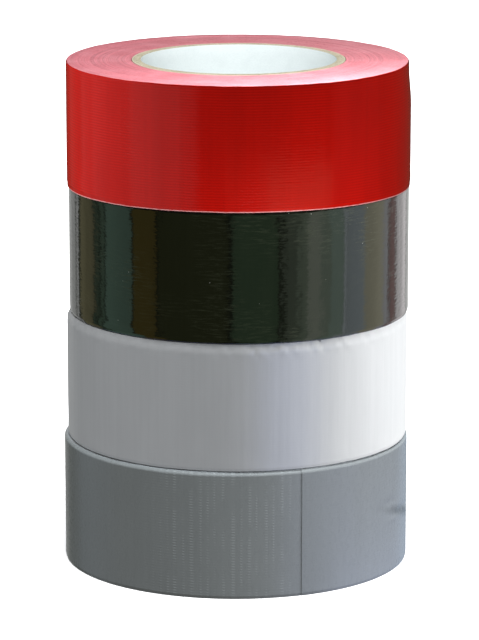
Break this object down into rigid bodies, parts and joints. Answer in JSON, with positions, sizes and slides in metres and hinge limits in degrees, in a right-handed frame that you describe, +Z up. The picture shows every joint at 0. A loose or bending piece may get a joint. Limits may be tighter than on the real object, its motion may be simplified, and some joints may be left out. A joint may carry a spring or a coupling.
{
  "type": "duct tape roll stack",
  "caption": "Stack of duct tape rolls in red, black, white and grey on paperboard cores; each roll lifts off and each tape end peels away.",
  "frame": {"origin": "on the surface the stack stands on, at the middle of its footprint", "axes": "+Z up through the cores, -Y towards the side where the grey roll's tape end shows, +X to the right seen from there"},
  "size_m": [0.1367, 0.1361, 0.1993],
  "materials": {
    "core_liner": "matte",
    "core_board": "matte",
    "core_wrap": "matte",
    "grey_tape": "satin",
    "white_tape": "satin",
    "black_tape": "gloss",
    "red_tape": "gloss"
  },
  "bodies": {
    "grey_roll": {"grey_core_liner": "core_liner", "grey_core_board": "core_board", "grey_core_wrap": "core_wrap", "grey_tape_winding": "grey_tape"},
    "white_roll": {"white_core_liner": "core_liner", "white_core_board": "core_board", "white_core_wrap": "core_wrap", "white_tape_winding": "white_tape"},
    "black_roll": {"black_core_liner": "core_liner", "black_core_board": "core_board", "black_core_wrap": "core_wrap", "black_tape_winding": "black_tape"},
    "red_roll": {"red_core_liner": "core_liner", "red_core_board": "core_board", "red_core_wrap": "core_wrap", "red_tape_winding": "red_tape"},
    "grey_tape_end": {"grey_tape_end": "grey_tape"},
    "white_tape_end": {"white_tape_end": "white_tape"},
    "black_tape_end": {"black_tape_end": "black_tape"},
    "red_tape_end": {"red_tape_end": "red_tape"}
  },
  "joints": [
    {"name": "white_lift", "type": "slide", "parent": "grey_roll", "child": "white_roll", "axis": [0, 0, 1], "range_m": [0, 0.06]},
    {"name": "black_lift", "type": "slide", "parent": "white_roll", "child": "black_roll", "axis": [0, 0, 1], "range_m": [0, 0.06]},
    {"name": "red_lift", "type": "slide", "parent": "black_roll", "child": "red_roll", "axis": [0, 0, 1], "range_m": [0, 0.06]},
    {"name": "grey_tape_end_peel", "type": "hinge", "parent": "grey_roll", "child": "grey_tape_end", "pos_m": [0.05979, -0.03198, 0.025], "axis": [0, 0, 1], "range_deg": [0, 75]},
    {"name": "white_tape_end_peel", "type": "hinge", "parent": "white_roll", "child": "white_tape_end", "pos_m": [-0.0658, 0.01166, 0.0754], "axis": [0, 0, 1], "range_deg": [0, 75]},
    {"name": "black_tape_end_peel", "type": "hinge", "parent": "black_roll", "child": "black_tape_end", "pos_m": [-0.01282, 0.0655, 0.1253], "axis": [0, 0, 1], "range_deg": [0, 75]},
    {"name": "red_tape_end_peel", "type": "hinge", "parent": "red_roll", "child": "red_tape_end", "pos_m": [-0.04927, 0.04518, 0.1761], "axis": [0, 0, 1], "range_deg": [0, 75]}
  ]
}
